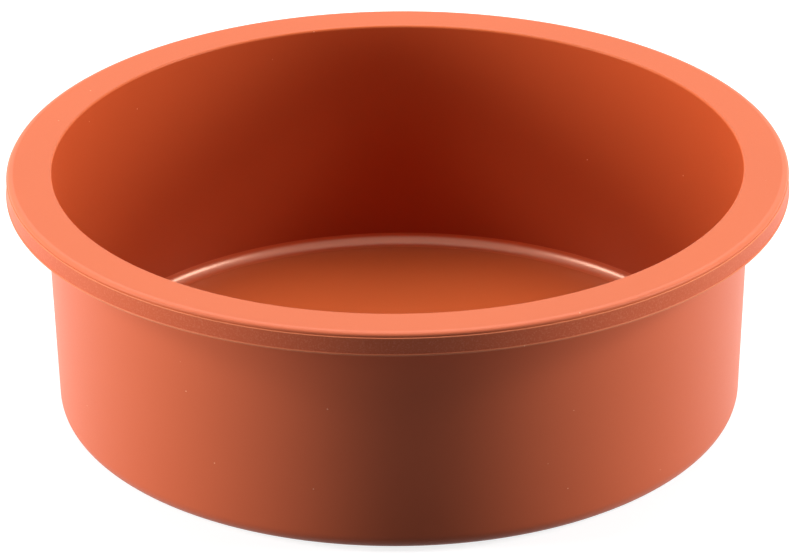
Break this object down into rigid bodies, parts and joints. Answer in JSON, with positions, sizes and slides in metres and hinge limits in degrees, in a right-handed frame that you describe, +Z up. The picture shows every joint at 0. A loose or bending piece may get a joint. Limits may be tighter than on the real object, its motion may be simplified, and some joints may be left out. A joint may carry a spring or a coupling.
{
  "type": "round cake mould",
  "caption": "Round straight-sided cake mould in terracotta silicone, with a flat base, a slightly tapered wall and a thick flat rim moulded round a stiff hoop that keeps the mouth round.",
  "frame": {"origin": "centre of the flat base, on the face that the mould stands on", "axes": "+Z up along the mould's axis, from the base to the mouth; the mould is the same all round, so X and Y are any two level directions"},
  "size_m": [0.204, 0.204, 0.067],
  "materials": {
    "silicone": "satin moulded silicone, terracotta red, opaque",
    "filled_nylon": "natural glass-filled nylon, matt, sealed inside the rim"
  },
  "bodies": {
    "root": {"mould_body": "silicone", "rim_stiffening_ring": "filled_nylon"}
  },
  "joints": []
}
